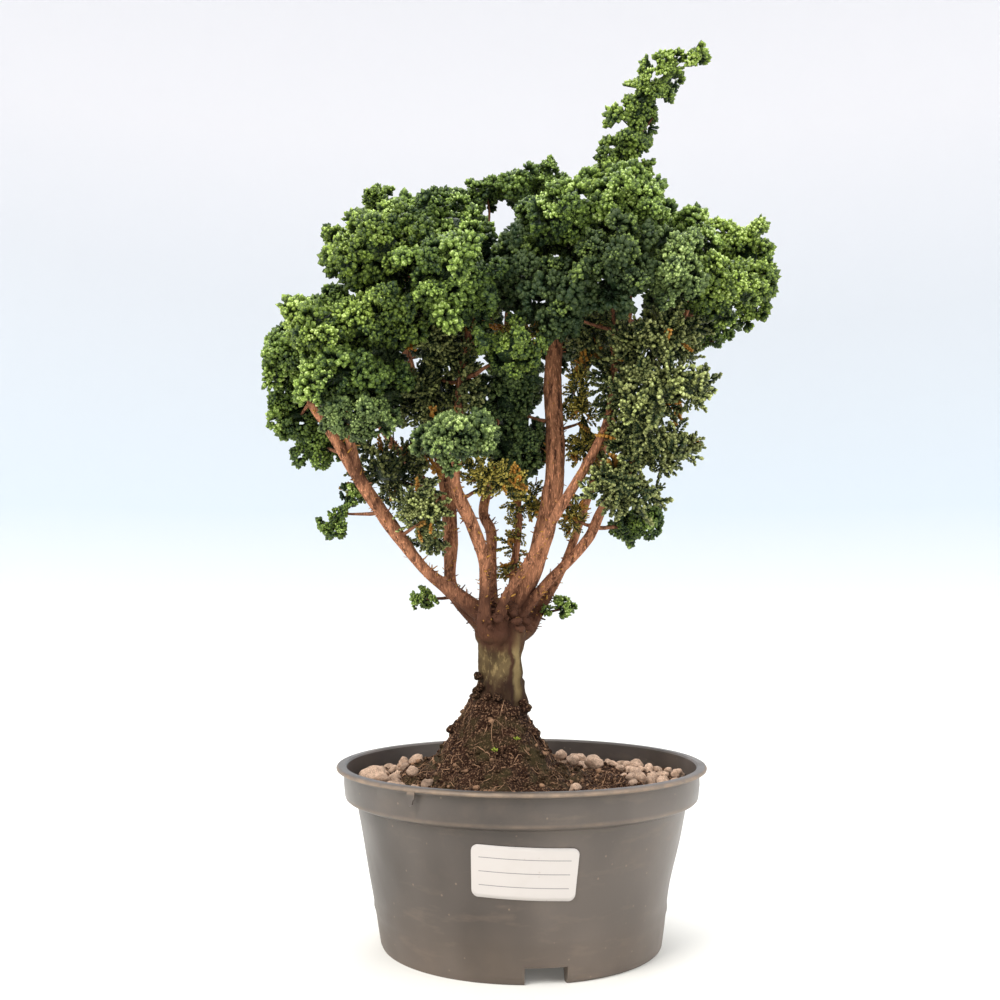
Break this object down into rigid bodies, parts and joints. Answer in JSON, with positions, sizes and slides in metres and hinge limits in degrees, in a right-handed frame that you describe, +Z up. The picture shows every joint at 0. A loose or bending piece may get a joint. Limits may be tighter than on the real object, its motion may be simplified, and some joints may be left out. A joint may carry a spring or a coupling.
{
  "type": "hinoki cypress bonsai",
  "caption": "Young hinoki cypress grown as a bonsai: a short trunk forks into upright limbs under rounded fans of scale foliage, in a round plastic nursery pot with a mound of soil.",
  "frame": {"origin": "on the floor under the middle of the part, which is the axis of the pot", "axes": "+Z up, the labelled front of the pot faces -Y, +X to the right seen from the front"},
  "size_m": [0.2533, 0.18, 0.4444],
  "materials": {
    "plastic": "matte",
    "paper": "satin",
    "soil": "matte",
    "pebbles": "matte",
    "bark": "matte",
    "bright": "satin",
    "green": "satin",
    "deep": "satin",
    "blue": "satin",
    "olive": "satin",
    "amber": "matte"
  },
  "bodies": {
    "root": {"pot": "plastic", "label": "paper", "soil": "soil", "gravel_left": "pebbles", "gravel_right": "pebbles", "trunk_and_branches": "bark", "foliage_leader_spray": "bright", "foliage_peak_tuft": "green", "foliage_arch_spray": "green", "foliage_top_left_tuft": "bright", "foliage_top_left_mass": "green", "foliage_left_shoulder": "bright", "foliage_left_front_mass": "bright", "foliage_upper_middle_left": "green", "foliage_front_middle_left": "green", "foliage_front_middle": "deep", "foliage_front_top": "green", "foliage_front_heart": "deep", "foliage_right_front_top": "green", "foliage_right_front_mass": "deep", "foliage_right_shoulder": "green", "foliage_right_fan": "blue", "foliage_right_front_pad": "bright", "foliage_far_right_lobe": "bright", "foliage_right_sprig": "green", "foliage_upper_left_lobe": "green", "foliage_left_front_band": "bright", "foliage_left_lobe": "green", "foliage_left_front_lobe": "green", "foliage_left_inner_mass": "deep", "foliage_left_blue_tuft": "blue", "foliage_left_edge_tuft": "green", "foliage_left_hanging_tuft": "green", "foliage_inner_left_column": "olive", "foliage_front_pad": "blue", "foliage_amber_skirt": "amber", "foliage_golden_sprays": "olive", "foliage_back_left_skirt": "olive", "foliage_left_twig_tuft": "green", "foliage_front_middle_tuft": "bright", "foliage_middle_column": "blue", "foliage_amber_heart": "amber", "foliage_olive_heart": "olive", "foliage_right_upper_ferns": "olive", "foliage_right_middle_ferns": "olive", "foliage_right_lower_ferns": "olive", "foliage_right_hanging_ferns": "olive", "foliage_lower_right_tuft": "green", "foliage_brown_clump": "amber", "foliage_collar_left_tuft": "green", "foliage_collar_right_tuft": "green", "foliage_amber_column": "amber", "foliage_leader_ferns": "amber", "foliage_back_top_left": "green", "foliage_back_top_middle": "green", "foliage_back_top_right": "green", "foliage_back_left_mass": "deep", "foliage_back_middle_mass": "deep", "foliage_back_right_mass": "deep", "foliage_back_heart": "deep"}
  },
  "joints": []
}
